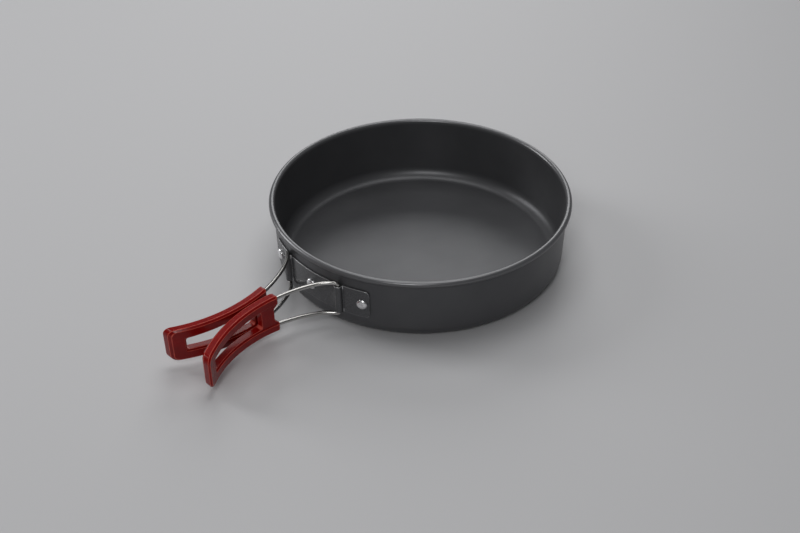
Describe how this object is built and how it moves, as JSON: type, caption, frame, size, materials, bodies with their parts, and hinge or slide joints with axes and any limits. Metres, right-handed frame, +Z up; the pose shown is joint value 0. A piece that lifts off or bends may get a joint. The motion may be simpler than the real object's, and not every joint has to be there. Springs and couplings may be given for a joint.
{
  "type": "camping frying pan",
  "caption": "Shallow round frying pan with a rolled rim and two folding wire handles with slotted red grips that swing round the wall.",
  "frame": {"origin": "on the pan's axis, at its flat underside", "axes": "+Z up out of the pan; the open handles point along -Y; +X is on the right of someone holding them and facing the pan"},
  "size_m": [0.19, 0.2835, 0.044],
  "materials": {
    "pan": "satin hard-anodised",
    "bracket": "satin hard-anodised",
    "rivet": "bright",
    "wire": "drawn stainless, polished",
    "grip": "smooth moulded, glossy"
  },
  "bodies": {
    "pan": {"pan_body": "pan", "handle_bracket": "bracket", "rivet_left": "rivet", "rivet_centre": "rivet", "rivet_right": "rivet"},
    "left_handle": {"wire_bail_left": "wire", "grip_left": "grip"},
    "right_handle": {"wire_bail_right": "wire", "grip_right": "grip"}
  },
  "joints": [
    {"name": "left_handle_fold", "type": "hinge", "parent": "pan", "child": "left_handle", "pos_m": [-0.0227, -0.09072, 0.0224], "axis": [0.0127, 0.0508, -0.9986], "range_deg": [0, 136]},
    {"name": "right_handle_fold", "type": "hinge", "parent": "pan", "child": "right_handle", "pos_m": [0.0227, -0.09072, 0.0224], "axis": [0.0127, -0.0508, 0.9986], "range_deg": [0, 136]}
  ]
}
